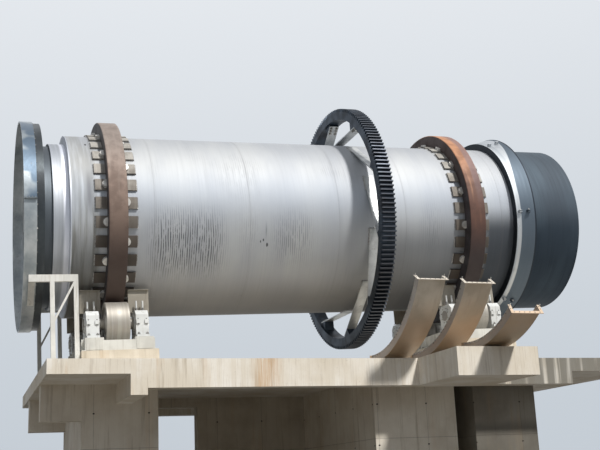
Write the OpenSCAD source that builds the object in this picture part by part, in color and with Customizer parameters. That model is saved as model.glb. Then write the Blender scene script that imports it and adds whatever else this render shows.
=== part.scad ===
// Two-station rotary kiln on its concrete deck, as it stands during erection.
// The drum turns on four support rollers and carries a girth gear on tangential spring plates.
// x runs along the drum from tyre 1 towards the feed end, z is up, and the ground is at z = 0.

/* [Drum] */
// Outside diameter of the drum shell
shell_od = 4500; // [4440:10:4560]
// Shell plate thickness
shell_plate = 28; // [22:1:40]
// Rise of the drum along x, in hundredths of its run
slope_pct = 3.5; // [2:0.25:4]
// Distance between the two tyres
tyre_span = 9150; // [9100:10:9300]
// Length of the drum beyond tyre 2
feed_overhang = 3240; // [3100:10:3300]
// Distance of the shell's discharge end from tyre 1
shell_end = 1000; // [960:10:1040]
// Outside diameter of the nose at the discharge end
nose_od = 4090; // [4040:10:4130]
// Length of the nose beyond the shell's discharge end
nose_l = 800; // [760:10:860]
// Distance of the cooling sleeve's small end from tyre 2
sleeve_offset = 1230; // [1180:10:1280]
// Width of the cooling sleeve
sleeve_w = 500; // [440:10:560]

/* [Tyres] */
// Tyre width along the axis
tyre_w = 434; // [400:2:470]
// Radial thickness of a tyre
tyre_t = 310; // [290:5:330]
// Thickness of the pads between the shell and a tyre
pad_t = 50; // [42:1:58]
// Length of a pad beyond each side of its tyre
pad_reach = 260; // [240:5:280]
// Number of pads round the drum at each tyre
pad_count = 32; // [28:4:36]

/* [Girth gear] */
// Gear module
gear_module = 36; // [35.8:0.1:36.2]
// Number of teeth on the girth gear
gear_teeth = 178; // [176:2:180]
// Face width of the girth gear
gear_w = 360; // [320:10:400]
// Depth of the gear rim from the tooth tips to its bore
gear_rim = 290; // [260:5:320]
// Distance of the gear from tyre 1
gear_x = 6400; // [6350:10:6450]
// Number of spring plates that carry the gear
spring_count = 10; // [9:1:11]
// Spring plate width
spring_w = 260; // [220:10:300]
// Spring plate thickness
spring_t = 28; // [20:1:32]

/* [Support rollers] */
// Radius of a support roller
roller_r = 500; // [480:5:530]
// Width of a support roller
roller_w = 540; // [510:5:580]
// Angle between a roller and the lowest point of the drum
roller_angle = 30; // [29:0.25:31]
// Radius of a roller shaft
shaft_r = 130; // [115:5:140]
// Distance of a bearing from the middle of its roller
bearing_x = 560; // [540:5:590]
// Length of a bearing housing along the shaft
bearing_l = 290; // [270:5:310]
// Height of the shaft above the base frame
shaft_h = 380; // [360:5:420]
// Height of a steel base frame
base_h = 300; // [270:5:330]

/* [Concrete] */
// Height of the deck's top above the ground
deck_h = 4150; // [3900:25:4500]
// Height of a plinth above the deck, under tyre 1
plinth_h = 430; // [400:5:480]
// Distance of the deck's front edge from the drum's plane
deck_half_w = 4050; // [4000:10:4150]
// Depth of the deck at its edge beams
beam_h = 600; // [560:10:660]
// Thickness of the deck slab
slab_h = 310; // [280:10:340]
// Projection of the front block in front of the deck
block_reach = 1900; // [1800:25:2000]

/* [Guard segments] */
// Inner radius of a gear guard segment
guard_r = 3200; // [3150:10:3250]
// Width of a gear guard segment
guard_w = 630; // [600:5:660]
// Depth of the side plates of a guard segment
guard_side = 175; // [150:5:190]
// Plate thickness of a guard segment
guard_t = 12; // [10:1:16]
// Width of the flanges round the ends of a guard segment
guard_flange = 54; // [48:2:60]

/* [Hidden] */
$fn = 96;
// Gap that curved faces keep where they touch
clear = 0.3;
// Radial running clearance of a shaft in its bearing
running = 0.05;
slope_deg = atan(slope_pct / 100);
shell_r = shell_od / 2;
bore_r = shell_r - shell_plate;
pad_r = shell_r + pad_t;
tyre_r = pad_r + clear + tyre_t;
roller_centre_r = tyre_r + clear + roller_r;
roller_y = roller_centre_r * sin(roller_angle);
roller_z = -roller_centre_r * cos(roller_angle);
base_top_z = roller_z - shaft_h;
plinth_top_z = base_top_z - base_h;
axis_above_deck = plinth_h - plinth_top_z;
axis_h = deck_h + axis_above_deck;
gear_tip_r = gear_module * (gear_teeth + 2) / 2;
gear_root_r = gear_module * (gear_teeth - 2.5) / 2;
gear_bore_r = gear_tip_r - gear_rim;

// Places its children in the drum's frame: x along the axis from tyre 1, rising to the feed end.
module on_drum() {
    translate([0, 0, axis_h]) rotate([0, -slope_deg, 0]) children();
}

// Turns a profile drawn as [radius, position along x] round the drum's axis.
module turned() {
    rotate([0, 90, 0]) mirror([1, 0, 0]) rotate_extrude() children();
}

// A ring round the drum's axis from x0 to x1.
module ring(x0, x1, outer, inner) {
    turned() translate([inner, x0]) square([outer - inner, x1 - x0]);
}

// Drum shell
course_gap = 900;
first_course = 480;
shell_x = [-shell_end, first_course - shell_end, course_gap, gear_x - course_gap, gear_x + course_gap,
    tyre_span + course_gap, tyre_span + feed_overhang];
module course(i) {
    color("silver") on_drum() ring(shell_x[i], shell_x[i + 1], shell_r, bore_r);
}

nose_plate = 30;
nose_step = 400;
nose_neck = 60;
module nose_ring() {
    nose_r = nose_od / 2;
    color("gainsboro") on_drum() turned() polygon([
        [nose_r - nose_plate - nose_neck, -shell_end - nose_l], [nose_r - nose_neck, -shell_end - nose_l],
        [nose_r - nose_neck, -shell_end - nose_step], [nose_r, -shell_end - nose_step],
        [nose_r, -shell_end - nose_plate], [shell_r, -shell_end - nose_plate], [shell_r, -shell_end],
        [nose_r - nose_plate - nose_neck, -shell_end]]);
}

sleeve_plate = 20;
sleeve_gap = 180;
sleeve_flare = 140;
// Length of the sleeve's straight part, outside and inside
sleeve_straight = [60, 80];
module cooling_sleeve() {
    x0 = tyre_span + sleeve_offset;
    r0 = shell_r + sleeve_gap;
    r1 = r0 + sleeve_flare;
    color("lightsteelblue") on_drum() turned() polygon([
        [shell_r + clear, x0], [r0, x0], [r0, x0 + sleeve_straight[0]],
        [r1, x0 + sleeve_w], [r1 - sleeve_plate, x0 + sleeve_w], [r0 - sleeve_plate, x0 + sleeve_straight[1]],
        [r0 - sleeve_plate, x0 + sleeve_plate], [shell_r + clear, x0 + sleeve_plate]]);
}

// Tyres with their pads and stop blocks
module tyre(x) {
    chamfer = 12;
    color("saddlebrown") on_drum() translate([x, 0, 0]) turned() polygon([
        [pad_r + clear, -tyre_w / 2], [tyre_r - chamfer, -tyre_w / 2], [tyre_r, -tyre_w / 2 + chamfer],
        [tyre_r, tyre_w / 2 - chamfer], [tyre_r - chamfer, tyre_w / 2], [pad_r + clear, tyre_w / 2]]);
}

pad_share = 0.62;
module pads(x) {
    half = tyre_w / 2 + pad_reach;
    pad_deg = pad_share * 360 / pad_count;
    color("dimgray") on_drum() for (i = [0 : pad_count - 1])
        rotate([i * 360 / pad_count, 0, 0]) translate([x, 0, 0]) rotate([0, 90, 0]) mirror([1, 0, 0])
            rotate([0, 0, -pad_deg / 2]) rotate_extrude(angle = pad_deg)
                translate([shell_r + clear, -half]) square([pad_t - clear, 2 * half]);
}

// Half-round blocks that keep the tyre in place, on alternate sides of it.
stop_r = 95;
stop_t = 70;
module stop_blocks(x) {
    color("gray") on_drum() for (i = [0 : pad_count - 1]) {
        side = i % 2 == 0 ? 1 : -1;
        rotate([i * 360 / pad_count, 0, 0]) translate([x + side * (tyre_w / 2 + clear), 0, pad_r + clear])
            intersection() {
                cylinder(h = stop_t, r = stop_r);
                translate([side > 0 ? 0 : -stop_r, -stop_r, 0]) cube([stop_r, 2 * stop_r, stop_t]);
            }
    }
}

// Girth gear
tooth_deg = 360 / gear_teeth;
flank_root = 0.27;
flank_tip = 0.13;
module tooth_outline() {
    tooth = [[-flank_root, gear_root_r], [-flank_tip, gear_tip_r],
        [flank_tip, gear_tip_r], [flank_root, gear_root_r]];
    polygon([for (i = [0 : gear_teeth - 1], p = tooth)
        p[1] * [cos((i + p[0]) * tooth_deg), sin((i + p[0]) * tooth_deg)]]);
}

spring_margin = 35;
spring_end_r = gear_bore_r - spring_margin;
spring_z = shell_r + clear;
spring_len = sqrt(pow(spring_end_r, 2) - pow(spring_z + spring_t, 2));
spring_foot = 160;
lug_l = 280;
module spring_lug() {
    intersection() {
        translate([-spring_w / 2, -spring_len, spring_z + spring_t]) cube([spring_w, lug_l, gear_rim]);
        rotate([0, 90, 0]) cylinder(h = spring_w + 2, r = gear_bore_r + 2, center = true, $fn = 180);
    }
}
module girth_gear() {
    color("darkslategray") on_drum() translate([gear_x, 0, 0]) {
        rotate([0, 90, 0]) translate([0, 0, -gear_w / 2]) linear_extrude(gear_w) difference() {
            tooth_outline();
            circle(r = gear_bore_r, $fn = 180);
        }
        for (i = [0 : spring_count - 1]) rotate([i * 360 / spring_count, 0, 0]) spring_lug();
    }
}
module spring_plates() {
    color("gainsboro") on_drum() for (i = [0 : spring_count - 1])
        rotate([i * 360 / spring_count, 0, 0]) translate([gear_x - spring_w / 2, -spring_len, spring_z])
            cube([spring_w, spring_len + spring_foot, spring_t]);
}

// Support rollers and their bearings. Each side of a roller is recessed between its hub and its rim.
hub_r = 215;
rim_r = 405;
recess = 40;
recess_draft = 20;
module roller(x, side) {
    chamfer = 15;
    overhang = 40;
    reach = bearing_x + bearing_l / 2 + overhang;
    half = roller_w / 2;
    color("tan") on_drum() translate([x, side * roller_y, roller_z]) turned() polygon([
        [0, -reach], [shaft_r, -reach], [shaft_r, -half], [hub_r, -half],
        [hub_r + recess_draft, recess - half], [rim_r - recess_draft, recess - half],
        [rim_r, -half], [roller_r - chamfer, -half], [roller_r, chamfer - half],
        [roller_r, half - chamfer], [roller_r - chamfer, half], [rim_r, half],
        [rim_r - recess_draft, half - recess], [hub_r + recess_draft, half - recess],
        [hub_r, half], [shaft_r, half], [shaft_r, reach], [0, reach]]);
}

housing_half = 330;
housing_top = 270;
housing_chamfer = 110;
foot_half = 430;
foot_t = 70;
stud_r = 22;
stud_h = 260;
stud_pitch = 150;
// Ears where the cap is bolted to the housing, and the collar round the shaft on each side
ear_w = 86;
ear_h = 90;
ear_reach = 30;
ear_x = 95;
collar_r = 205;
collar_t = 22;
module bearing() {
    difference() {
        union() {
            housing_block();
            for (s = [-1, 1]) translate([s * ear_x - ear_w / 2, -housing_half - ear_reach, -ear_h / 2])
                cube([ear_w, 2 * (housing_half + ear_reach), ear_h]);
            rotate([0, 90, 0]) cylinder(h = bearing_l + 2 * collar_t, r = collar_r, center = true);
        }
        rotate([0, 90, 0]) cylinder(h = 2 * bearing_l, r = shaft_r + running, center = true);
    }
    for (s = [-0.5, 0.5]) translate([s * stud_pitch, 0, housing_top]) cylinder(h = stud_h, r = stud_r);
}
module housing_block() {
    rotate([90, 0, 90]) translate([0, 0, -bearing_l / 2]) linear_extrude(bearing_l) polygon([
        [-foot_half, -shaft_h], [foot_half, -shaft_h], [foot_half, foot_t - shaft_h],
        [housing_half, foot_t - shaft_h], [housing_half, housing_top - housing_chamfer],
        [housing_half - housing_chamfer, housing_top], [housing_chamfer - housing_half, housing_top],
        [-housing_half, housing_top - housing_chamfer], [-housing_half, foot_t - shaft_h],
        [-foot_half, foot_t - shaft_h]]);
}
module bearings(x, side) {
    color("white") on_drum() for (s = [-1, 1])
        translate([x + s * bearing_x, side * roller_y, roller_z]) bearing();
}

// Folded plates on the bearing caps that keep the drum's heat off them.
shield_w = 480;
shield_h = 540;
shield_t = 8;
shield_lip = 60;
shield_setback = 110;
module heat_shields(x) {
    color("tan") on_drum() for (side = [-1, 1], s = [-1, 1])
        translate([x + s * bearing_x - shield_w / 2, side * roller_y, roller_z + housing_top])
            mirror([0, side < 0 ? 0 : 1, 0]) translate([0, shield_setback, 0]) {
                cube([shield_w, shield_t, shield_h]);
                translate([0, -shield_lip, 0]) cube([shield_w, shield_lip, shield_t]);
                translate([0, -shield_lip, shield_h - shield_t]) cube([shield_w, shield_lip, shield_t]);
            }
}

// Welded base frame: two beams under the bearings, each on a foot flange, tied by cross members.
frame_beam_w = 420;
frame_tie_w = 300;
frame_tie_drop = 60;
frame_overhang = 560;
foot_flange = 70;
foot_flange_t = 26;
module base_frame(x) {
    half = roller_y + frame_overhang;
    color("lightgray") on_drum() translate([x, 0, base_top_z - base_h]) {
        for (s = [-1, 1]) translate([s * bearing_x - frame_beam_w / 2, -half, 0]) {
            cube([frame_beam_w, 2 * half, base_h]);
            translate([-foot_flange, 0, 0]) cube([frame_beam_w + 2 * foot_flange, 2 * half, foot_flange_t]);
        }
        for (y = [-half, -frame_tie_w / 2, half - frame_tie_w])
            translate([-bearing_x, y, 0]) cube([2 * bearing_x, frame_tie_w, base_h - frame_tie_drop]);
    }
}

// A plinth's top follows the drum's slope, and its foot is level on the deck.
plinth_margin = 90;
module plinth(x) {
    half_l = bearing_x + frame_beam_w / 2 + plinth_margin;
    half_w = roller_y + frame_overhang + plinth_margin;
    deep = 3 * plinth_h;
    color("beige") difference() {
        on_drum() translate([x - half_l, -half_w, plinth_top_z - deep])
            cube([2 * half_l, 2 * half_w, deep]);
        translate([x - 3 * half_l, -2 * half_w, deck_h - 2 * deep])
            cube([6 * half_l, 4 * half_w, 2 * deep]);
    }
}

// Deck
deck_x = [-1620, 50, 10450, 12600];
edge_w = 400;
module deck_slab() {
    color("beige") translate([deck_x[0], edge_w - deck_half_w, deck_h - slab_h])
        cube([deck_x[3] - deck_x[0], 2 * (deck_half_w - edge_w), slab_h]);
}
// The edge beam is deep between the outer bays and only as thick as the slab at both ends.
module deck_beam(side) {
    color("beige") mirror([0, side > 0 ? 0 : 1, 0]) translate([0, deck_half_w, 0]) rotate([90, 0, 0])
        linear_extrude(edge_w) polygon([
            [deck_x[0], deck_h - slab_h], [deck_x[1], deck_h - slab_h], [deck_x[1], deck_h - beam_h],
            [deck_x[2], deck_h - beam_h], [deck_x[2], deck_h - slab_h], [deck_x[3], deck_h - slab_h],
            [deck_x[3], deck_h], [deck_x[0], deck_h]]);
}
cross_w = 350;
cross_drop = 140;
pier_half_w = 2000;
module deck_cross_beams() {
    color("beige") for (side = [-1, 1]) mirror([0, side > 0 ? 0 : 1, 0]) translate([deck_x[1], 0, 0])
        rotate([90, 0, 90]) linear_extrude(cross_w) polygon([
            [pier_half_w, deck_h - beam_h - cross_drop], [deck_half_w, deck_h - beam_h - cross_drop],
            [deck_half_w, deck_h - beam_h], [deck_half_w - edge_w, deck_h - beam_h],
            [deck_half_w - edge_w, deck_h - slab_h], [pier_half_w, deck_h - slab_h]]);
}
block_x = [6480, 8400];
module front_block() {
    color("beige") translate([block_x[0], -deck_half_w - block_reach, deck_h - beam_h])
        cube([block_x[1] - block_x[0], block_reach, beam_h]);
}

// Piers and walls under the deck
under_slab = deck_h - slab_h;
pier_1_x = [-700, 990];
wall_t = 350;
module pier_1() {
    color("beige") translate([pier_1_x[0], -pier_half_w, 0])
        cube([pier_1_x[1] - pier_1_x[0], 2 * pier_half_w, under_slab]);
}
door_lintel = 790;
door_w = 880;
module door_wall() {
    color("beige") for (side = [-1, 1]) mirror([0, side > 0 ? 0 : 1, 0])
        translate([pier_1_x[0] - door_w, pier_half_w - wall_t, under_slab - door_lintel])
            cube([door_w, wall_t, door_lintel]);
}
drive_pier_x = [5660, 7700];
pier_2_x = [8180, 9820];
pier_2_half_w = 3300;
opening_w = 1700;
opening_lintel = 240;
opening_h = under_slab - opening_lintel;
module back_wall() {
    wall_l = drive_pier_x[0] - pier_1_x[1];
    color("beige") translate([pier_1_x[1], pier_half_w, 0]) rotate([90, 0, 0])
        linear_extrude(wall_t) polygon([
            [opening_w, 0], [wall_l, 0], [wall_l, under_slab],
            [0, under_slab], [0, opening_h], [opening_w, opening_h]]);
}
module wide_pier(span) {
    color("beige") translate([span[0], -pier_2_half_w, 0])
        cube([span[1] - span[0], 2 * pier_2_half_w, under_slab]);
}

// Stationary seal housing round the nose, carried by two frames on the deck
seal_x = [-2070, -1820, -1620];
seal_r = 2530;
seal_drum_r = 2570;
seal_bore_r = 2180;
seal_plate = 30;
module seal_housing() {
    flange_x = seal_x[1] + seal_plate;
    color("tan") on_drum() turned() polygon([
        [seal_bore_r, seal_x[1]], [seal_drum_r - seal_plate, seal_x[1]],
        [seal_drum_r - seal_plate, seal_x[0]], [seal_drum_r, seal_x[0]],
        [seal_drum_r, flange_x], [seal_r, flange_x], [seal_r, seal_x[2]],
        [seal_r - seal_plate, seal_x[2]], [seal_r - seal_plate, flange_x], [seal_bore_r, flange_x]]);
}
support_y = 1960;
support_bar = 100;
support_x = [-1960, -1500, -980];
support_top = -1620;
support_beam_h = 160;
support_deep = 3 * axis_above_deck;
saddle_t = 80;
saddle_y = 1450;
brace_rise = 800;
module seal_support() {
    beam_z = support_top - support_beam_h;
    for (x = [support_x[1], support_x[2]]) translate([x, support_y, beam_z - support_deep])
        cube([support_bar, support_bar, support_deep]);
    translate([support_x[0], support_y, beam_z])
        cube([support_x[2] + support_bar - support_x[0], support_bar, support_beam_h]);
    intersection() {
        ring(support_x[0], seal_x[1], seal_drum_r + saddle_t, seal_bore_r);
        translate([support_x[0] - 1, saddle_y, 2 * support_top])
            cube([seal_x[1] - support_x[0] + 2, support_y + support_bar - saddle_y, abs(support_top)]);
    }
    brace_run = support_x[2] - support_x[1] - support_bar;
    translate([support_x[1] + support_bar, support_y + support_bar, beam_z - brace_rise])
        rotate([90, 0, 0]) linear_extrude(support_bar) polygon([
            [0, 0], [0, -support_bar], [brace_run, brace_rise - support_bar], [brace_run, brace_rise]]);
}
module seal_supports() {
    color("white") difference() {
        on_drum() difference() {
            for (side = [-1, 1]) mirror([0, side > 0 ? 0 : 1, 0]) seal_support();
            ring(seal_x[0] - 1, seal_x[1] + seal_plate + clear, seal_drum_r + clear, seal_bore_r);
            ring(seal_x[1] + seal_plate, seal_x[2] + clear, seal_r + clear, seal_bore_r);
        }
        translate([10 * support_x[0], -deck_half_w, deck_h - 2 * support_deep])
            cube([20 * abs(support_x[0]), 2 * deck_half_w, 2 * support_deep]);
    }
}

// Curved channels of the gear guard, taken off and stood on the deck and the block.
// A flange goes round the outside of each end, and a channel stands on its lower flange.
guard_1_before_gear = 450;
guard_1_inside_edge = 1230;
guard_2_past_gear = 420;
guard_2_inside_edge = 690;
guard_3_along_block = 760;
guard_3_past_edge = 1220;
guard_x = [gear_x - guard_1_before_gear, gear_x + guard_2_past_gear, block_x[0] + guard_3_along_block];
guard_y = [guard_1_inside_edge - deck_half_w, guard_2_inside_edge - deck_half_w,
    -guard_3_past_edge - deck_half_w];
// Angle from each channel's lowest point up to its upper end, and the angle of the whole channel
guard_upper = [57, 54, 33.5];
guard_span = [60, 60, 42];
guard_outer = guard_r + guard_t;
guard_inner = guard_r - guard_side;
module guard_segment(i) {
    past = guard_span[i] - guard_upper[i];
    foot = (guard_outer + guard_flange) * cos(past) + guard_t * sin(past) - guard_outer;
    color("tan") translate([guard_x[i], guard_y[i], deck_h + guard_outer + foot])
        rotate([90, 0, 90]) rotate([0, 0, 270 - guard_upper[i]]) {
            rotate_extrude(angle = guard_span[i], $fn = 360) polygon([
                [guard_outer, 0], [guard_outer, guard_w], [guard_inner, guard_w],
                [guard_inner, guard_w - guard_t], [guard_r, guard_w - guard_t],
                [guard_r, guard_t], [guard_inner, guard_t], [guard_inner, 0]]);
            translate([0, guard_t, 0]) guard_end();
            rotate([0, 0, guard_span[i]]) guard_end();
        }
}
// The flange is set into the channel's plates by half their thickness.
module guard_end() {
    set_in = guard_t / 2;
    edge = guard_inner + set_in;
    rotate([90, 0, 0]) linear_extrude(guard_t) polygon([
        [edge, -guard_flange], [guard_outer + guard_flange, -guard_flange],
        [guard_outer + guard_flange, guard_w + guard_flange], [edge, guard_w + guard_flange],
        [edge, guard_w - set_in], [guard_r + set_in, guard_w - set_in],
        [guard_r + set_in, set_in], [edge, set_in]]);
}

nose_ring();
course(0);  // shell_discharge
course(1);  // shell_tyre_1
course(2);  // shell_middle
course(3);  // shell_gear
course(4);  // shell_tyre_2
course(5);  // shell_feed
cooling_sleeve();
tyre(0);  // tyre_1
tyre(tyre_span);  // tyre_2
pads(0);  // pads_1
pads(tyre_span);  // pads_2
stop_blocks(0);  // stop_blocks_1
stop_blocks(tyre_span);  // stop_blocks_2
girth_gear();
spring_plates();
roller(0, -1);  // roller_1_front
roller(0, 1);  // roller_1_rear
roller(tyre_span, -1);  // roller_2_front
roller(tyre_span, 1);  // roller_2_rear
bearings(0, -1);  // bearings_1_front
bearings(0, 1);  // bearings_1_rear
bearings(tyre_span, -1);  // bearings_2_front
bearings(tyre_span, 1);  // bearings_2_rear
heat_shields(0);  // heat_shields_1
heat_shields(tyre_span);  // heat_shields_2
base_frame(0);  // base_frame_1
base_frame(tyre_span);  // base_frame_2
plinth(0);  // plinth_1
plinth(tyre_span);  // plinth_2
deck_slab();
deck_beam(-1);  // deck_front_beam
deck_beam(1);  // deck_rear_beam
deck_cross_beams();
front_block();
pier_1();
door_wall();
back_wall();
wide_pier(drive_pier_x);  // drive_pier
wide_pier(pier_2_x);  // pier_2
seal_housing();
seal_supports();
guard_segment(0);  // guard_segment_1
guard_segment(1);  // guard_segment_2
guard_segment(2);  // guard_segment_3
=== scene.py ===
# Looks of a two-station rotary kiln on its concrete deck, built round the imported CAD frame.
# Lengths are metres. The drum's frame has x along the axis from tyre 1, rising to the feed end.
import math
import random
from itertools import product

import bpy
from mathutils import Matrix, Vector

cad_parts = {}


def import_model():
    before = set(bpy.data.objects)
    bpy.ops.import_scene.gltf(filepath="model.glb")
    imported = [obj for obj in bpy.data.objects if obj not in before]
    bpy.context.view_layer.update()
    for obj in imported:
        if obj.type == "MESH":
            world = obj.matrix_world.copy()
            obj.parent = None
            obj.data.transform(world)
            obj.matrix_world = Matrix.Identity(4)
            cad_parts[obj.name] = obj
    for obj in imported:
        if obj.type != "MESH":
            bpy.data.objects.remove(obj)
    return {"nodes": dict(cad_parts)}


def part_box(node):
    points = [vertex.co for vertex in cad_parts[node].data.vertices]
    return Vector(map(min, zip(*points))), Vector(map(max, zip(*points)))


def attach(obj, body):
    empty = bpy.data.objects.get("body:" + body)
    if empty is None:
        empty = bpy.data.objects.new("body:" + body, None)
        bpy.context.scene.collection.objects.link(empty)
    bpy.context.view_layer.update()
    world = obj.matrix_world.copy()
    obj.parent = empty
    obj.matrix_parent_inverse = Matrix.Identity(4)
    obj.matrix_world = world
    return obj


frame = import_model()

random.seed(7)
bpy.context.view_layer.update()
BOTH = (-1, 1)


# ---- Driving dimensions, read off the frame ----

def middle(node):
    low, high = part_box(node)
    return (Vector(low) + Vector(high)) / 2


def extent(node):
    low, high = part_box(node)
    return Vector(high) - Vector(low)


RISE = middle("tyre_2") - middle("tyre_1")
SLOPE = math.atan2(RISE.z, RISE.x)
DRUM = Matrix.Translation(middle("tyre_1")) @ Matrix.Rotation(-SLOPE, 4, "Y")
TO_DRUM = DRUM.inverted()


def outer_radius(node):
    return extent(node).y / 2


def span(node):
    """The stretch of the drum's axis that a ring node covers."""
    length = (extent(node).x - 2 * outer_radius(node) * math.sin(SLOPE)) / math.cos(SLOPE)
    centre = (TO_DRUM @ middle(node)).x
    return centre - length / 2, centre + length / 2


SHELL_R = outer_radius("shell_middle")
TYRE_X = [0.0, RISE.length]
TYRE_W = span("tyre_1")[1] - span("tyre_1")[0]
GEAR_X = (TO_DRUM @ middle("girth_gear")).x
DECK_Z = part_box("deck_slab")[1][2]
BLOCK_END_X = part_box("front_block")[1][0]
ROLLER = TO_DRUM @ middle("roller_1_front")
SEAL_X0 = span("seal_housing")[0]
SEAL_R = outer_radius("seal_housing")
SLEEVE_X = span("cooling_sleeve")

# Sizes that the frame's boxes don't give
MIDDLE_SEAM_X = 3.200
NOSE_STEP_X = span("nose_ring")[0] + 0.400
NOSE_END_X = span("nose_ring")[1] - 0.030
GEAR_BORE_R = 2.950
GEAR_LAND_R = 3.235
PAD_T = 0.050
PAD_HALF = TYRE_W / 2 + 0.260
PAD_COUNT = 32
PAD_DEG = 0.62 * 360 / PAD_COUNT
STOP_R = 0.095
SPRING_COUNT = 10
SPRING_W = 0.260
SPRING_T = 0.028
SPRING_FOOT = 0.160
SPRING_LEN = math.sqrt((GEAR_BORE_R - 0.035) ** 2 - (SHELL_R + SPRING_T) ** 2)
SLEEVE_GAP = 0.180
SEAL_DRUM_L = 0.280
BEARING_X = 0.560
BEARING_L = 0.290
SHAFT_H = 0.380
FOOT_T = 0.070
COLLAR_T = 0.022
EAR_X = 0.095
EAR_REACH = 0.015
EAR_HALF_H = 0.045
HOUSING_HALF = 0.330
HOUSING_TOP = 0.270
STUD_PITCH = 0.150
BASE_H = 0.300
BEAM_W = 0.420
TIE_W = 0.300
FRAME_OVERHANG = 0.560
FLANGE_W = 0.070
FLANGE_T = 0.026
GUARD_R = 3.200
GUARD_T = 0.012
GUARD_OUTER = GUARD_R + GUARD_T
GUARD_INNER = GUARD_R - 0.175
GUARD_FLANGE = 0.054
# Of each channel: y of its lowest point, the angle of its upper end and its whole angle, in degrees
GUARD_PLACE = {"guard_segment_1": (-2.820, 57, 60), "guard_segment_2": (-3.360, 54, 60),
               "guard_segment_3": (-5.270, 33.5, 42)}

# Places along the drum where its look changes
SEAM_X = [span("shell_discharge")[1], span("shell_tyre_1")[1], MIDDLE_SEAM_X,
          span("shell_middle")[1], span("shell_gear")[1], span("shell_tyre_2")[1]]
BEFORE_TYRE_1 = -0.30
AFTER_TYRE_2 = TYRE_X[1] + 0.35
FEED_SHADE_X = sum(SLEEVE_X) / 2
SEAL_RING_X = SEAL_X0 + SEAL_DRUM_L


def move(x, y, z):
    return Matrix.Translation((x, y, z))


def spin(degrees, axis):
    return Matrix.Rotation(math.radians(degrees), 4, axis)


def on_drum(x, turn, r):
    """A place on the drum: z points outwards, and turn is in degrees from the top to the front."""
    return DRUM @ spin(turn, "X") @ move(x, 0, r)


def at_shaft(station, side, along):
    """The axis of a roller shaft at a distance along from the middle of its roller."""
    return DRUM @ move(TYRE_X[station] + along, abs(ROLLER.y) * side, ROLLER.z)


def on_guard(axis, x, angle, r):
    """A place on a channel: z points outwards from its axis and y follows its curve upwards."""
    return axis @ spin(-angle, "X") @ move(x, 0, -r) @ spin(180, "X")


# ---- Mesh tools ----

def corner_of(axis, sign, u, v):
    corner = [0, 0, 0]
    corner[axis], corner[(axis + 1) % 3], corner[(axis + 2) % 3] = sign, u, v
    return tuple(corner)


def box_shape(size, bevel):
    """A box about its centre with bevelled edges, as points and faces."""
    points = []
    index = {}
    for axis, sign, u, v in product(range(3), BOTH, BOTH, BOTH):
        corner = corner_of(axis, sign, u, v)
        index[axis, corner] = len(points)
        reach = [edge / 2 - (0 if n == axis else bevel) for n, edge in enumerate(size)]
        points.append(Vector([way * r for way, r in zip(corner, reach)]))
    faces = []
    for axis, sign in product(range(3), BOTH):
        around = ((-1, -1), (1, -1), (1, 1), (-1, 1))
        ring = [index[axis, corner_of(axis, sign, u, v)] for u, v in around]
        faces.append(ring if sign > 0 else ring[::-1])
    for axis, u, v in product(range(3), BOTH, BOTH):
        b, c = (axis + 1) % 3, (axis + 2) % 3
        start, end = [corner_of(axis, sign, u, v) for sign in BOTH]
        ring = [index[b, start], index[b, end], index[c, end], index[c, start]]
        faces.append(ring if u * v < 0 else ring[::-1])
    for corner in product(BOTH, BOTH, BOTH):
        ring = [index[axis, corner] for axis in range(3)]
        faces.append(ring if math.prod(corner) > 0 else ring[::-1])
    return points, faces


def prism_shape(sides, radius, height, chamfer):
    """A prism or disc that stands on z = 0, with its top edge chamfered."""
    points = []
    for r, z in ((radius, 0.0), (radius, height - chamfer), (radius - chamfer, height)):
        for i in range(sides):
            a = 2 * math.pi * i / sides
            points.append(Vector((r * math.cos(a), r * math.sin(a), z)))
    faces = [list(range(sides))[::-1], list(range(2 * sides, 3 * sides))]
    for first, i in product((0, sides), range(sides)):
        j = (i + 1) % sides
        faces.append([first + i, first + j, first + sides + j, first + sides + i])
    return points, faces


# Sizes of a bolt as shares of its head's width across the flats
HEAD_R, HEAD_H = 0.577, 0.62
WASHER_R, WASHER_H = 0.95, 0.12
THREAD_R, THREAD_H = 0.31, 0.4

# How much a weld's size varies, and how deep its foot is sunk as a share of its height
RIPPLE = 0.12
SINK = 0.25


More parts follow.
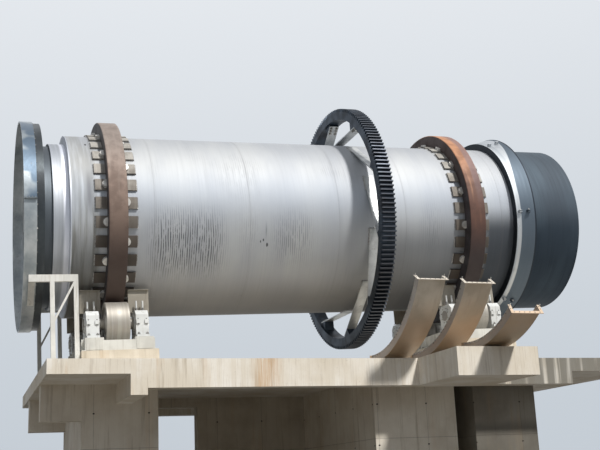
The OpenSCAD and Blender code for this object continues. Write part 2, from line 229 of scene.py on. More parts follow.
class Piece:
    """One visible piece: simple solids gathered into one mesh that rides on a body."""

    def __init__(self, name, body, finish, slot, smooth=False):
        self.name = name
        self.body = body
        self.material = FINISH[finish]
        self.slot = slot
        self.smooth = smooth
        self.points = []
        self.faces = []

    def put(self, shape, place):
        first = len(self.points)
        self.points += [place @ point for point in shape[0]]
        self.faces += [[first + i for i in face] for face in shape[1]]

    def bolt(self, place, across, thread=0.6, washer=True):
        """A hexagon head on its washer, with the end of the thread above it."""
        lift = 0.0
        if washer:
            lift = WASHER_H * across
            self.put(prism_shape(14, WASHER_R * across, lift, 0.02 * across), place)
        turned = place @ move(0, 0, lift) @ Matrix.Rotation(random.uniform(0, 1), 4, "Z")
        self.put(prism_shape(6, HEAD_R * across, HEAD_H * across, 0.07 * across), turned)
        if thread > 0:
            height = (HEAD_H + THREAD_H * thread) * across
            self.put(prism_shape(10, THREAD_R * across, height, 0.04 * across), turned)

    def bead(self, places, width, height):
        """A weld along places whose z points off the surface: a low round ridge with a ripple."""
        first = len(self.points)
        path = [place.translation.copy() for place in places]
        last = len(path) - 1
        for n, place in enumerate(places):
            up = place.to_3x3() @ Vector((0, 0, 1))
            along = (path[min(n + 1, last)] - path[max(n - 1, 0)]).normalized()
            across = along.cross(up).normalized()
            swell = 1 + random.uniform(-RIPPLE, RIPPLE)
            for a in [math.pi * i / 4 for i in range(5)]:
                out = across * (width / 2 * swell * math.cos(a))
                self.points.append(path[n] + out + up * (height * (swell * math.sin(a) - SINK)))
        for n, i in product(range(last), range(4)):
            a = first + 5 * n + i
            self.faces.append([a, a + 1, a + 6, a + 5])
        self.faces.append([first + i for i in range(5)])
        self.faces.append([first + 5 * last + i for i in range(5)][::-1])

    def make(self):
        mesh = bpy.data.meshes.new(self.name)
        mesh.from_pydata(self.points, [], self.faces)
        mesh.update()
        mesh.polygons.foreach_set("use_smooth", [self.smooth] * len(mesh.polygons))
        piece = bpy.data.objects.new(self.name, mesh)
        bpy.context.scene.collection.objects.link(piece)
        piece.data.materials.append(self.material)
        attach(piece, self.body)


# ---- Materials ----

def tone(red, green, blue):
    """A colour as a photograph shows it, 0 to 255, as Blender's linear colour."""
    def linear(value):
        value /= 255
        return value / 12.92 if value <= 0.04045 else ((value + 0.055) / 1.055) ** 2.4
    return linear(red), linear(green), linear(blue), 1.0


class Nodes:
    """Short ways to add nodes to a shader tree. A plain tone is three numbers from 0 to 255."""

    def __init__(self, tree):
        self.tree = tree

    def put(self, socket, value):
        if isinstance(value, bpy.types.NodeSocket):
            self.tree.links.new(value, socket)
        else:
            socket.default_value = value

    def node(self, kind, *values, **settings):
        node = self.tree.nodes.new("ShaderNode" + kind)
        for key, value in settings.items():
            setattr(node, key, value)
        for socket, value in zip(node.inputs, values):
            self.put(socket, value)
        return node

    def math(self, operation, a, b=0.0, c=0.0):
        return self.node("Math", a, b, c, operation=operation).outputs[0]

    def plus(self, a, b):
        return self.math("ADD", a, b)

    def minus(self, a, b):
        return self.math("SUBTRACT", a, b)

    def times(self, a, b):
        return self.math("MULTIPLY", a, b)

    def larger(self, a, b):
        return self.math("MAXIMUM", a, b)

    def absolute(self, a):
        return self.math("ABSOLUTE", a)

    def length(self, a, b):
        return self.math("SQRT", self.plus(self.times(a, a), self.times(b, b)))

    def to_middle(self, a):
        """How far a is from the middle of the whole step that it lies in."""
        return self.minus(self.math("FRACT", a), 0.5)

    def mix(self, share, a, b):
        node = self.node("Mix", data_type="RGBA")
        self.put(node.inputs[0], share)
        for socket, value in ((node.inputs[6], a), (node.inputs[7], b)):
            self.put(socket, tone(*value) if isinstance(value, tuple) else value)
        return node.outputs[2]

    def step(self, value, low, high, out_low=0.0, out_high=1.0):
        return self.ramp(value, low, high, out_low, out_high, interpolation_type="SMOOTHSTEP")

    def ramp(self, value, low, high, out_low, out_high, **settings):
        return self.node("MapRange", value, low, high, out_low, out_high, **settings).outputs[0]

    def noise(self, at, scale, detail=4.0, rough=0.55):
        node = self.node("TexNoise")
        self.put(node.inputs["Vector"], at)
        self.put(node.inputs["Scale"], scale)
        self.put(node.inputs["Detail"], detail)
        self.put(node.inputs["Roughness"], rough)
        return node.outputs["Fac"]

    def streaks(self, at, x, y, z, detail, rough=0.55):
        """Noise with a scale of its own along each axis."""
        return self.noise(self.stretch(at, x, y, z), 1.0, detail, rough)

    def stretch(self, at, x, y, z):
        return self.node("VectorMath", at, (x, y, z), operation="MULTIPLY").outputs[0]

    def parts(self, vector):
        return tuple(self.node("SeparateXYZ", vector).outputs)

    def seen(self):
        """1 for what the camera sees straight, in a reflection or through a clear surface."""
        path = self.node("LightPath").outputs
        straight = self.larger(path["Is Camera Ray"], path["Is Glossy Ray"])
        return self.larger(straight, path["Is Transmission Ray"])


class Finish(Nodes):
    """A material whose surface values are worked out by nodes from places on the object."""

    def __init__(self, name):
        self.material = bpy.data.materials.new(name)
        self.material.use_nodes = True
        super().__init__(self.material.node_tree)
        self.surface = self.tree.nodes["Principled BSDF"]
        self.bump_out = None

    def place(self):
        return self.node("TexCoord").outputs["Object"]

    def normal(self):
        return self.node("NewGeometry").outputs["Normal"]

    def on_drum(self):
        """The place in the drum's frame, its x, its radius, and its turn as on_drum() has it."""
        origin = tuple(DRUM.translation)
        shifted = self.node("VectorMath", self.place(), origin, operation="SUBTRACT").outputs[0]
        turned = self.node("VectorRotate", rotation_type="Y_AXIS")
        self.put(turned.inputs["Vector"], shifted)
        self.put(turned.inputs["Angle"], SLOPE)
        x, y, z = self.parts(turned.outputs[0])
        turn = self.times(self.math("ARCTAN2", self.times(y, -1.0), z), 180 / math.pi)
        return turned.outputs[0], x, self.length(y, z), turn

    def band(self, value, low, high, soft):
        """1 between low and high, fading to 0 over soft on either side."""
        rise = self.step(value, low - soft, low + soft)
        fall = self.step(value, high - soft, high + soft, 1.0, 0.0)
        return self.times(rise, fall)

    def patch(self, x, turn, lengths, turns, amount=1.0, fade=(0.30, 13)):
        """An area of the drum between two lengths and two turns, faded at its edges."""
        along = self.band(x, *lengths, fade[0])
        across = self.band(turn, *turns, fade[1])
        return self.times(self.times(along, across), amount)

    def spot(self, x, turn, at_x, at_turn, reach, wobble):
        """A ragged spot on the drum, reach metres long and twice as high."""
        along = self.times(self.minus(x, at_x), 1 / reach)
        across = self.times(self.minus(turn, at_turn), SHELL_R * math.pi / 360 / reach)
        return self.step(self.plus(self.length(along, across), wobble), 1.5, 1.0)

    def bump(self, height, strength, distance):
        node = self.node("Bump")
        node.inputs["Strength"].default_value = strength
        node.inputs["Distance"].default_value = distance
        self.put(node.inputs["Height"], height)
        if self.bump_out is not None:
            self.put(node.inputs["Normal"], self.bump_out)
        self.bump_out = node.outputs[0]

    def done(self, colour, roughness, metallic=0.0):
        self.put(self.surface.inputs["Base Color"], colour)
        self.put(self.surface.inputs["Roughness"], roughness)
        self.put(self.surface.inputs["Metallic"], metallic)
        if self.bump_out is not None:
            self.put(self.surface.inputs["Normal"], self.bump_out)
        return self.material


STREAK_PITCH = 0.054
# Small marks on the drum: place along it, turn, reach
MARKS = ((3.615, 114.5, 0.032), (3.52, 111.5, 0.022), (3.45, 112.5, 0.018), (-0.59, 43, 0.030))


def rolled_steel():
    """Bright rolled plate with rain streaks and a dirty stretch by the nose, with painted shade on
    its underside and over the feed end, and a painted sky reflection at half height.
    """
    f = Finish("rolled_shell_plate")
    at, x, _, turn = f.on_drum()
    broad = f.streaks(at, 0.9, 0.35, 0.35, 3.0)
    lines = f.streaks(at, 22.0, 0.45, 0.45, 5.0, 0.6)
    fine = f.streaks(at, 55.0, 3.0, 3.0, 3.0, 0.6)
    colour = f.mix(f.step(broad, 0.3, 0.7), (168, 171, 176), (180, 182, 184))
    colour = f.mix(f.step(lines, 0.50, 0.74, 0.0, 0.08), colour, (144, 146, 149))
    # Dark rain streaks, thickest on the front of the course beside tyre 1
    where = f.patch(x, turn, (0.86, 2.48), (97, 131))
    where = f.larger(where, f.patch(x, turn, (3.0, 3.3), (92, 118), 0.35))
    where = f.larger(where, f.patch(x, turn, (3.85, 4.70), (97, 122), 0.60))
    where = f.larger(where, f.patch(x, turn, (7.8, 8.3), (90, 115), 0.40))
    elsewhere = f.step(f.noise(at, 0.45, 3.0), 0.58, 0.72, 0.0, 0.20)
    where = f.larger(where, elsewhere)
    drift = f.times(f.streaks(at, 2.5, 0.8, 0.8, 2.0), 14.0)
    comb = f.math("SINE", f.math("MULTIPLY_ADD", x, 2 * math.pi / STREAK_PITCH, drift))
    breaks = f.step(f.streaks(at, 17.0, 3.5, 3.5, 5.0, 0.70), 0.38, 0.54)
    streak = f.times(f.times(f.step(comb, -0.5, 0.9), breaks), where)
    colour = f.mix(f.times(streak, 0.85), colour, (62, 67, 76))
    drip = f.patch(x, turn, (3.575, 3.600), (102, 109), 0.55, fade=(0.02, 4))
    colour = f.mix(drip, colour, (84, 87, 94))
    for at_x, at_turn, reach in MARKS:
        spot = f.spot(x, turn, at_x, at_turn, reach, fine)
        colour = f.mix(f.times(spot, 0.85), colour, (58, 58, 62))
    # Stained stretch between the nose and tyre 1
    by_nose = f.step(x, BEFORE_TYRE_1, BEFORE_TYRE_1 - 0.15)
    runs = f.step(f.streaks(at, 7.0, 0.5, 0.5, 5.0, 0.6), 0.40, 0.62)
    stained = f.times(by_nose, runs)
    colour = f.mix(f.times(stained, f.step(turn, 60, 90, 0.38, 0.66)), colour, (122, 120, 112))
    smear = f.patch(x, turn, (-0.66, -0.55), (74, 92), 0.9, fade=(0.05, 8))
    colour = f.mix(smear, colour, (88, 82, 76))
    # darker towards the underside of the stretch by the nose
    darker_below_by_nose = f.times(by_nose, f.step(turn, 98, 128, 0.0, 0.55))
    colour = f.mix(darker_below_by_nose, colour, (84, 86, 84))
    rust = f.step(f.streaks(at, 5.0, 2.0, 2.0, 8.0, 0.72), 0.67, 0.77)
    colour = f.mix(f.times(rust, 0.40), colour, (132, 108, 90))
    # A painted sky reflection as a bluish belt at half height, painted shade on the underside, and
    # painted shade on the lower front after the gear and after tyre 2
    painted_sky_belt = f.band(turn, 72, 98, 12)
    colour = f.mix(f.times(painted_sky_belt, 0.40), colour, (170, 178, 190))
    # painted shade: the underside of the drum darker and warmer
    painted_underside_shade = f.step(f.absolute(turn), 122, 156, 0.0, 0.52)
    colour = f.mix(painted_underside_shade, colour, (96, 89, 78))
    # painted shade on the lower front of the drum after the gear and after tyre 2
    for start, low, high, share in ((GEAR_X, 93, 118, 0.50), (AFTER_TYRE_2, 87, 106, 0.85)):
        painted_shade_strip = f.times(f.step(x, start, start + 0.2), f.step(turn, low, high, 0.0, share))
        colour = f.mix(painted_shade_strip, colour, (66, 72, 80))
    # Painted shade beyond the sleeve: the dull blue-grey tone in scale darkens the drum there
    painted_feed_shade = f.step(x, FEED_SHADE_X - 0.05, FEED_SHADE_X + 0.05)
    scale = f.mix(f.step(broad, 0.35, 0.65), (68, 81, 92), (54, 65, 76))
    scale = f.mix(f.step(lines, 0.50, 0.70, 0.0, 0.5), scale, (44, 53, 62))
    colour = f.mix(f.times(painted_feed_shade, 0.92), colour, scale)
    for seam in SEAM_X:
        near = f.band(x, seam - 0.030, seam + 0.030, 0.025)
        colour = f.mix(f.times(near, 0.08), colour, (118, 116, 114))
    f.bump(f.streaks(at, 0.8, 0.6, 0.6, 2.0), 0.10, 0.05)
    rough = f.step(lines, 0.3, 0.7, 0.70, 0.73)
    marked = f.larger(streak, rust)
    return f.done(colour, rough, f.minus(0.90, f.times(marked, 0.6)))


def polished_steel(name, light, dark, *, rough, rings, metallic, bands=()):
    """Turned or brushed metal with fine rings round the drum's axis, and bands of another tone.

    A band says where it starts and ends along the axis, its tone, how soft its edges are, and how
    much further along it starts on the upper side of the drum, which leaves a painted sunlit part
    there. Some bands are painted shade, and some a painted highlight."""
    f = Finish(name)
    at, x, _, turn = f.on_drum()
    rings_at = f.streaks(at, rings, 0.35, 0.35, 4.0, 0.6)
    cloud = f.noise(at, 1.7, 5.0)
    colour = f.mix(f.step(rings_at, 0.35, 0.65), light, dark)
    colour = f.mix(f.step(cloud, 0.60, 0.78, 0.0, 0.4), colour, (120, 118, 114))
    # upper marks the side of the drum that the bands leave as a painted sunlit part
    upper = f.step(f.absolute(turn), 78, 22)
    for low, high, shade, soft, sunlit_shift in bands:
        past_start = f.minus(f.minus(x, low), f.times(upper, sunlit_shift))
        inside = f.times(f.step(past_start, -soft, soft), f.step(x, high + soft, high - soft))
        colour = f.mix(inside, colour, shade)
    f.bump(rings_at, 0.15, 0.004)
    f.bump(f.noise(at, 2.2, 2.0), 0.10, 0.02)
    return f.done(colour, f.step(rings_at, 0.3, 0.7, *rough), metallic)


def tyre_coat(name, upper, middle, low, painted_sheen_tone, beyond=None):
    """Primer over a cast tyre: painted shade darkens it towards the underside, a painted sheen lies
    on the runs of its upper side, and it is dark on both of its sides.

    With beyond, the half of tyre 2 towards the feed end has that tone on its upper side."""
    f = Finish(name)
    at, x, _, turn = f.on_drum()
    axis = tuple(RISE.normalized())
    facing = f.node("VectorMath", f.normal(), axis, operation="DOT_PRODUCT").outputs["Value"]
    flank = f.step(f.absolute(facing), 0.80, 0.95)
    mottle = f.noise(at, 2.6, 6.0, 0.62)
    runs = f.streaks(at, 9.0, 0.7, 0.7, 5.0, 0.6)
    around = f.absolute(turn)
    # painted shade: the tone runs from upper through middle to low towards the underside
    colour = f.mix(f.step(around, 48, 84), upper, middle)
    colour = f.mix(f.step(around, 88, 122), colour, low)
    colour = f.mix(f.step(mottle, 0.42, 0.66, 0.0, 0.35), colour, low)
    # painted sheen on the runs of the upper side
    painted_sheen = f.times(f.step(runs, 0.50, 0.74, 0.0, 0.5), f.step(around, 110, 70))
    colour = f.mix(painted_sheen, colour, painted_sheen_tone)
    if beyond:
        ragged = f.plus(x, f.times(f.minus(runs, 0.5), 0.25))
        half = f.step(ragged, TYRE_X[1] - 0.02, TYRE_X[1] + 0.07)
        colour = f.mix(f.times(half, f.step(around, 96, 70, 0.0, 0.80)), colour, beyond)
    side = f.mix(f.step(mottle, 0.4, 0.7), (60, 58, 62), (44, 41, 43))
    colour = f.mix(f.times(flank, 0.9), colour, side)
    f.bump(f.noise(at, 60.0, 4.0, 0.6), 0.25, 0.004)
    f.bump(runs, 0.15, 0.006)
    return f.done(colour, f.step(mottle, 0.3, 0.7, 0.55, 0.70), 0.15)


def worn_metal(name, light, dark, stain, *, rough, metallic, scale=3.0):
    """Plain grey steel with clouds, scale and a few stains."""
    f = Finish(name)
    at = f.place()
    cloud = f.noise(at, scale, 6.0, 0.6)
    speck = f.noise(at, scale * 9, 5.0, 0.7)
    colour = f.mix(f.step(cloud, 0.36, 0.66), light, dark)
    colour = f.mix(f.step(speck, 0.60, 0.72, 0.0, 0.7), colour, stain)
    f.bump(speck, 0.25, 0.003)
    return f.done(colour, f.step(cloud, 0.3, 0.7, rough - 0.07, rough + 0.1), metallic)


def gear_metal():
    """Cut teeth: dark blue-grey metal with painted glints on its tooth lands and painted shade on
    its lower front.
    """
    f = Finish("gear_cut_steel")
    at, _, radius, turn = f.on_drum()
    cloud = f.noise(at, 2.4, 6.0, 0.6)
    colour = f.mix(f.step(cloud, 0.36, 0.66), (58, 70, 84), (40, 48, 58))
    brown = f.step(f.noise(at, 0.8, 4.0), 0.54, 0.68, 0.0, 0.4)
    colour = f.mix(brown, colour, (60, 54, 52))
    # painted shade on the lower front of the gear
    colour = f.mix(f.step(turn, 95, 128, 0.0, 0.55), colour, (26, 30, 35))
    # painted glint on the tooth lands
    painted_land_glint = f.step(radius, GEAR_LAND_R - 0.003, GEAR_LAND_R + 0.003)
    colour = f.mix(f.times(painted_land_glint, 0.35), colour, (120, 122, 130))
    f.bump(f.streaks(at, 80.0, 6.0, 6.0, 3.0), 0.2, 0.003)
    return f.done(colour, f.step(cloud, 0.3, 0.7, 0.44, 0.58), 0.6)


def seal_sheet():
    """Sheet of the seal housing: a bright drum with a painted sky reflection in its upper half, and
    a dark ring.
    """
    f = Finish("seal_sheet")
    at, x, radius, turn = f.on_drum()
    cloud = f.noise(f.stretch(at, 1.0, 0.8, 0.8), 1.4, 5.0, 0.6)
    colour = f.mix(f.step(cloud, 0.36, 0.66), (190, 194, 196), (142, 150, 155))
    painted_sky_reflection = f.mix(f.step(f.noise(at, 1.1, 2.0), 0.50, 0.58), (92, 108, 124), (146, 154, 160))
    outside = f.step(radius, SEAL_R - 0.010, SEAL_R - 0.005)
    # the outer face of the upper half takes the painted sky reflection
    upper = f.step(f.absolute(turn), 90.5, 89.5)
    colour = f.mix(f.times(upper, outside), colour, painted_sky_reflection)
    specks = f.step(f.noise(at, 9.0, 6.0, 0.7), 0.58, 0.74, 0.0, 0.7)
    colour = f.mix(specks, colour, (116, 108, 98))
    ring = f.mix(f.step(cloud, 0.36, 0.66), (66, 72, 76), (46, 50, 54))
    colour = f.mix(f.step(x, SEAL_RING_X - 0.004, SEAL_RING_X + 0.004), colour, ring)
    f.bump(f.noise(at, 3.0, 3.0), 0.25, 0.02)
    return f.done(colour, f.step(cloud, 0.3, 0.7, 0.30, 0.48), 0.7)


def guard_plate():
    """Primed plate of the guard segments: pale above, with a painted warm reflection of the sunlit
    deck low down and painted shade at its foot, greyer at the sides.
    """
    f = Finish("guard_primer")
    at = f.place()
    z = f.parts(at)[2]
    sideways = f.absolute(f.parts(f.normal())[0])
    cloud = f.noise(at, 2.0, 5.0)
    runs = f.streaks(at, 9.0, 0.9, 0.9, 5.0, 0.6)
    chips = f.noise(at, 17.0, 6.0, 0.72)
    colour = f.mix(f.step(cloud, 0.36, 0.64), (214, 206, 194), (196, 187, 173))
    height = f.minus(f.plus(z, f.times(cloud, 0.6)), DECK_Z)
    # painted reflection of the sunlit deck: browner towards the deck
    colour = f.mix(f.step(height, 1.45, 0.75, 0.0, 0.60), colour, (186, 148, 108))
    # painted shade: darker near the foot
    colour = f.mix(f.step(height, 0.80, 0.30, 0.0, 0.60), colour, (112, 100, 78))
    colour = f.mix(f.step(sideways, 0.6, 0.9, 0.0, 0.55), colour, (150, 148, 150))
    colour = f.mix(f.step(runs, 0.54, 0.74, 0.0, 0.35), colour, (158, 138, 118))
    colour = f.mix(f.step(chips, 0.67, 0.73, 0.0, 0.5), colour, (118, 78, 54))
    f.bump(chips, 0.12, 0.003)
    return f.done(colour, f.step(cloud, 0.3, 0.7, 0.44, 0.58), 0.15)


def paint(name, light, dark, dirt, *, rust, metallic=0.0, drip=1.0):
    """Site-worn paint: brushed tone, dirt that runs down, rust at small chips."""
    f = Finish(name)
    at = f.place()
    cloud = f.noise(at, 2.0, 5.0)
    runs = f.streaks(at, 14.0, 14.0, 0.9, 5.0, 0.62)
    chips = f.noise(at, 17.0, 6.0, 0.72)
    colour = f.mix(f.step(cloud, 0.36, 0.64), light, dark)
    colour = f.mix(f.times(f.step(runs, 0.52, 0.74), 0.7 * drip), colour, dirt)
    colour = f.mix(f.times(f.step(chips, 0.67, 0.73), rust * 2), colour, (112, 66, 40))
    f.bump(f.noise(at, 90.0, 3.0), 0.15, 0.002)
    f.bump(chips, 0.12, 0.003)
    return f.done(colour, f.step(cloud, 0.3, 0.7, 0.44, 0.62), metallic)


BOARD_W = 0.105
PANEL_W = 1.22


def concrete(name, pale, dark, stain, *, boards, ties=False,
             rusty=None, shade_from=None, shade_foot_to=None):
    """Cast concrete with marks of the form boards, runs of water and rust drips.

    boards is how much the boards show, and with ties come the joints and tie holes of form panels.
    On the front, rusty is a brown stretch of x, and the two arguments after it give the x from
    which painted shade greys it and the height up to which painted shade darkens its foot."""
    f = Finish(name)
    at = f.place()
    x, y, z = f.parts(at)
    _, ny, nz = f.parts(f.normal())
    upright = f.step(f.absolute(nz), 0.5, 0.3)
    side = f.plus(x, y)
    flat = f.node("CombineXYZ", side, 0.0, z).outputs[0]
    # Narrow form boards, each with its own tone, and the grain inside them
    board = f.node("TexWhiteNoise", noise_dimensions="1D")
    f.put(board.inputs["W"], f.math("FLOOR", f.times(side, 1 / BOARD_W)))
    board_tone = board.outputs["Value"]
    grain = f.streaks(flat, 42.0, 1.0, 1.3, 5.0, 0.65)
    cloud = f.noise(at, 0.9, 6.0, 0.6)
    pores = f.noise(at, 26.0, 5.0, 0.7)
    colour = f.mix(f.step(cloud, 0.34, 0.68), pale, dark)
    marked = f.times(upright, boards)
    colour = f.mix(f.times(f.times(board_tone, 0.70), marked), colour, dark)
    colour = f.mix(f.times(f.step(grain, 0.50, 0.74, 0.0, 0.5), marked), colour, stain)
    # Water and rust that ran down from the top edge
    runs = f.streaks(flat, 5.5, 1.0, 0.35, 5.0, 0.62)
    wash = f.times(f.step(runs, 0.54, 0.70, 0.0, 0.55), upright)
    colour = f.mix(wash, colour, stain)
    warm = f.step(f.streaks(flat, 2.2, 1.0, 0.25, 4.0), 0.56, 0.70, 0.0, 0.45)
    colour = f.mix(f.times(warm, marked), colour, (204, 170, 126))
    front = f.times(f.step(y, 0.5, -0.5), marked)
    if rusty is not None:
        brown = f.times(f.band(x, *rusty, 0.20), f.step(grain, 0.36, 0.58, 0.15, 0.65))
        colour = f.mix(f.times(brown, front), colour, (208, 166, 116))
    # painted shade over the front from this x on, broken by brighter runs
    if shade_from is not None:
        painted_right_shade = f.step(f.streaks(flat, 4.0, 1.0, 0.2, 3.0), 0.50, 0.64, 0.90, 0.30)
        painted_right_shade = f.times(painted_right_shade, f.step(x, shade_from - 0.02, shade_from + 0.02))
        colour = f.mix(f.times(painted_right_shade, front), colour, (118, 115, 107))
    # painted shade at the foot of the front face
    if shade_foot_to is not None:
        height = f.plus(z, f.times(cloud, 0.5))
        painted_foot_shade = f.step(height, shade_foot_to + 0.38, shade_foot_to + 0.12)
        colour = f.mix(f.times(painted_foot_shade, f.step(ny, -0.3, -0.7, 0.0, 0.50)), colour, (66, 64, 58))
    # Joints between form panels, and tie holes at their quarters
    if ties:
        joint_u = f.step(f.absolute(f.to_middle(f.times(side, 1 / PANEL_W))), 0.494, 0.498)
        joint_v = f.step(f.absolute(f.to_middle(f.times(z, 0.5 / PANEL_W))), 0.4965, 0.4988)
        joint = f.times(f.larger(joint_u, joint_v), upright)
        colour = f.mix(f.times(joint, 0.4), colour, (84, 78, 70))
        hole_u = f.to_middle(f.plus(f.times(side, 1 / PANEL_W), 0.5))
        hole_v = f.to_middle(f.times(z, 1 / (0.75 * PANEL_W)))
        hole = f.times(f.step(f.length(hole_u, hole_v), 0.024, 0.014), upright)
        colour = f.mix(hole, colour, (60, 54, 48))
        f.bump(f.minus(1.0, hole), 0.6, 0.03)
    spots = f.step(pores, 0.66, 0.72, 0.0, 0.5)
    colour = f.mix(spots, colour, (120, 112, 98))
    f.bump(f.times(board_tone, marked), 0.35, 0.006)
    f.bump(grain, 0.20, 0.006)
    f.bump(pores, 0.30, 0.006)
    if ties:
        f.bump(f.minus(1.0, joint), 0.5, 0.008)
    return f.done(colour, f.step(cloud, 0.3, 0.7, 0.80, 0.93))


def weld_metal():
    f = Finish("weld_bead")
    at = f.place()
    scale = f.noise(at, 30.0, 5.0, 0.7)
    colour = f.mix(f.step(scale, 0.35, 0.65), (172, 172, 172), (124, 121, 118))
    f.bump(scale, 0.3, 0.002)
    return f.done(colour, f.step(scale, 0.3, 0.7, 0.35, 0.55), 0.7)


# Nose bands: the neck beyond the step is darkened by soot and painted shade, and the lighter band
# by the end is a painted highlight that lifts the shadow the step casts
NOSE_BANDS = [(-3.0, NOSE_STEP_X, (90, 96, 102), 0.003, 0.0),
              (NOSE_END_X - 0.130, NOSE_END_X, (214, 217, 226), 0.030, 0.0)]
# Sleeve bands: painted shade on its end face and over the flare, whose upper side stays bright as a
# painted sunlit part, and a dark rim at its far end
SLEEVE_BANDS = [(SLEEVE_X[0] - 0.1, SLEEVE_X[0] + 0.006, (56, 62, 68), 0.003, 0.0),
                (SLEEVE_X[0] + 0.125, SLEEVE_X[1], (92, 103, 114), 0.012, 0.28),
                (SLEEVE_X[1] - 0.035, SLEEVE_X[1] + 0.1, (50, 56, 64), 0.003, 0.0)]

FINISH = {
    "shell": rolled_steel(),
    "nose": polished_steel("nose_polished", (175, 179, 186), (162, 166, 172),
                           rough=(0.50, 0.60), rings=10.0, metallic=1.0, bands=NOSE_BANDS),
    "sleeve": polished_steel("sleeve_sheet", (186, 190, 194), (160, 167, 174),
                             rough=(0.52, 0.62), rings=8.0, metallic=0.85, bands=SLEEVE_BANDS),
    "roller": polished_steel("roller_turned", (172, 168, 161), (156, 151, 143),
                             rough=(0.54, 0.63), rings=12.0, metallic=0.6),
    # Tyre and pad coats: a lit, a half-lit and a shaded tone of painted shade, then a painted sheen
    # tone
    "tyre_1": tyre_coat("tyre_primer_red", (140, 128, 121), (140, 120, 109), (72, 58, 53),
                        (158, 146, 138)),
    "tyre_2": tyre_coat("tyre_primer_orange", (185, 133, 98), (104, 73, 62), (55, 45, 45),
                        (196, 148, 114), beyond=(124, 102, 102)),
    "pad": tyre_coat("pad_plate", (171, 168, 162), (129, 123, 116), (76, 69, 63), (186, 182, 176)),
    "gear": gear_metal(),
    "stop": worn_metal("stop_block", (226, 225, 222), (186, 184, 180), (128, 112, 98),
                       rough=0.46, metallic=0.45),
    "spring": worn_metal("spring_plate", (206, 208, 208), (160, 164, 166), (120, 108, 96),
                         rough=0.42, metallic=0.6, scale=1.6),
    "joint": worn_metal("cap_joint", (130, 130, 128), (100, 100, 98), (84, 76, 68),
                        rough=0.6, metallic=0.2),
    "bolt": worn_metal("bolt_steel", (170, 168, 164), (120, 118, 114), (98, 74, 58),
                       rough=0.4, metallic=0.75, scale=8.0),
    "weld": weld_metal(),
    "housing": paint("housing_white", (226, 229, 230), (210, 212, 211), (160, 157, 148), rust=0.25),
    "shield": paint("shield_primer", (162, 157, 146), (146, 140, 129), (112, 103, 90),
                    rust=0.2, metallic=0.2),
    "frame": paint("base_frame_grey", (216, 216, 211), (194, 194, 189), (146, 140, 128),
                   rust=0.4, drip=0.45),
    "support": paint("support_white", (232, 232, 228), (212, 212, 208), (160, 152, 140), rust=0.35),
    "seal": seal_sheet(),
    "guard": guard_plate(),
    "deck": concrete("deck_concrete", (252, 248, 240), (230, 221, 205), (176, 162, 142),
                     boards=1.0, rusty=(2.70, 3.20), shade_from=BLOCK_END_X),
    "plinth": concrete("plinth_concrete", (222, 214, 200), (198, 188, 171), (156, 144, 124),
                       boards=0.6),
    # The three pier concretes differ only by painted light: the second is a lighter copy that lifts
    # the shade under the deck, and the third a darker copy painted as shade, darker still at its
    # foot
    "pier": concrete("pier_concrete", (206, 198, 184), (184, 174, 158), (142, 130, 112),
                     boards=0.35, ties=True),
    "pier_lit": concrete("pier_lit", (244, 238, 226), (222, 213, 198), (170, 158, 138),
                          boards=0.35, ties=True),
    "pier_shaded": concrete("pier_shaded", (150, 145, 135), (130, 124, 114), (94, 88, 78),
                          boards=0.35, ties=True, shade_foot_to=2.70),
}

# The finish of a node is that of the first start that its name has
NODE_FINISH = {
    "shell_": "shell", "nose_ring": "nose", "cooling_sleeve": "sleeve", "tyre_1": "tyre_1",
    "tyre_2": "tyre_2", "pads_": "pad", "stop_blocks_": "stop", "girth_gear": "gear",
    "spring_plates": "spring", "seal_housing": "seal", "seal_supports": "support",
    "roller_": "roller", "bearings_": "housing", "heat_shields_": "shield",
    "base_frame_": "frame", "guard_segment_": "guard", "deck_": "deck", "front_block": "deck",
    "plinth_": "plinth", "pier_1": "pier_lit", "pier_2": "pier_shaded", "door_wall": "pier_lit",
    "drive_pier": "pier_lit", "back_wall": "pier",
}


def dress_nodes():
    for name, node in frame["nodes"].items():
        finish = next(value for start, value in NODE_FINISH.items() if name.startswith(start))
        for slot in node.material_slots:
            slot.material = FINISH[finish]


# ---- Pieces on the drum ----

SEAM_W, SEAM_H = 0.020, 0.003
SEAM_TURNS = (200, 318, 152, 28, 236, 330, 205)
LUG_COUNT = 6
LUG_SIZE = (0.090, 0.014, 0.100)


def ring_places(x, r, steps, first=0.0, sweep=360.0):
    return [on_drum(x, first + sweep * i / steps, r) for i in range(steps + 1)]


def shell_seams():
    """Round seams between the courses and one lengthwise seam in each, staggered."""
    piece = Piece("shell_seams", "kiln", "shell", "shell_steel", smooth=True)
    for x in SEAM_X:
        piece.bead(ring_places(x, SHELL_R, 300), SEAM_W, SEAM_H)
    ends = [span("shell_discharge")[0]] + SEAM_X + [span("shell_feed")[1]]
    for x0, x1, turn in zip(ends, ends[1:], SEAM_TURNS):
        run = [on_drum(x0 + (x1 - x0) * i / 30, turn, SHELL_R) for i in range(31)]
        piece.bead(run, SEAM_W, SEAM_H)
    piece.make()


def pad_welds():
    """Fillet welds along the free ends of the pads under the tyres."""
    piece = Piece("pad_welds", "kiln", "weld", "pad_steel", smooth=True)
    for x, end, i in product(TYRE_X, BOTH, range(PAD_COUNT)):
        first = i * 360 / PAD_COUNT - PAD_DEG / 2
        foot = ring_places(x + end * (PAD_HALF + 0.006), SHELL_R + 0.004, 8, first, PAD_DEG)
        piece.bead(foot, width=0.040, height=0.022)
    piece.make()


